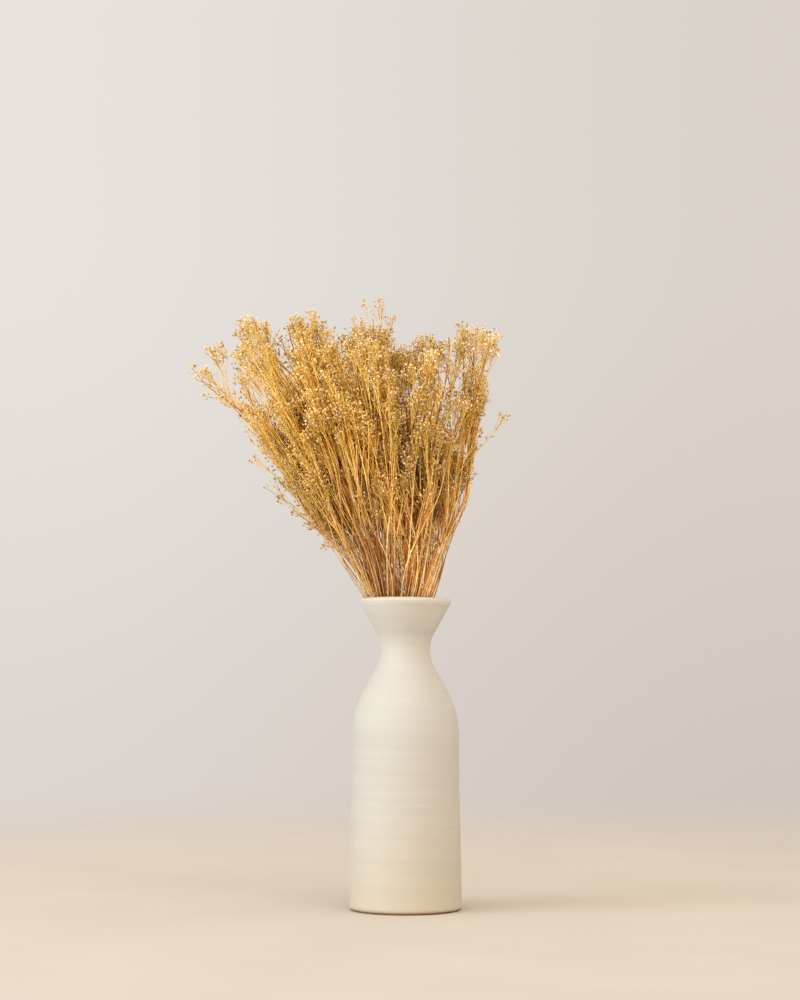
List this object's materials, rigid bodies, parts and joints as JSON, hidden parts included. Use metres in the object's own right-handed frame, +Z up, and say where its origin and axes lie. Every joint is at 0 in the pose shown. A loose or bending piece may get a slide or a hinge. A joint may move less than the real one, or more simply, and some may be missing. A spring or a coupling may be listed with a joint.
{
  "type": "vase of dried broom blooms",
  "caption": "Matte stoneware bottle vase with a flared collar, holding a leaning, fanned bunch of dried golden broom bloom sprays on thin stems.",
  "frame": {"origin": "centre of the vase's flat foot, on the surface that it stands on", "axes": "+Z up along the vase's axis; the bunch leans towards -X; the picture's view is from -Y"},
  "size_m": [0.2539, 0.1954, 0.4969],
  "materials": {
    "stoneware": "matte",
    "bloom_gold": "matte",
    "bloom_straw": "matte",
    "bloom_amber": "matte"
  },
  "bodies": {
    "root": {"spray_01": "bloom_gold", "spray_02": "bloom_amber", "spray_03": "bloom_amber", "spray_04": "bloom_amber", "spray_05": "bloom_gold", "spray_06": "bloom_amber", "spray_07": "bloom_straw", "spray_08": "bloom_amber", "spray_09": "bloom_gold", "spray_10": "bloom_straw", "spray_11": "bloom_gold", "spray_12": "bloom_gold", "spray_13": "bloom_straw", "spray_14": "bloom_gold", "spray_15": "bloom_amber", "spray_16": "bloom_straw", "spray_17": "bloom_gold", "spray_18": "bloom_amber", "spray_19": "bloom_amber", "spray_20": "bloom_straw", "spray_21": "bloom_straw", "spray_22": "bloom_gold", "spray_23": "bloom_gold", "spray_24": "bloom_amber", "spray_25": "bloom_gold", "spray_26": "bloom_amber", "spray_27": "bloom_gold", "spray_28": "bloom_gold", "spray_29": "bloom_gold", "spray_30": "bloom_straw", "spray_31": "bloom_straw", "spray_32": "bloom_straw", "spray_33": "bloom_gold", "spray_34": "bloom_amber", "spray_35": "bloom_gold", "spray_36": "bloom_amber", "spray_37": "bloom_gold", "spray_38": "bloom_gold", "spray_39": "bloom_amber", "spray_40": "bloom_gold", "spray_41": "bloom_gold", "spray_42": "bloom_amber", "vase": "stoneware"}
  },
  "joints": []
}
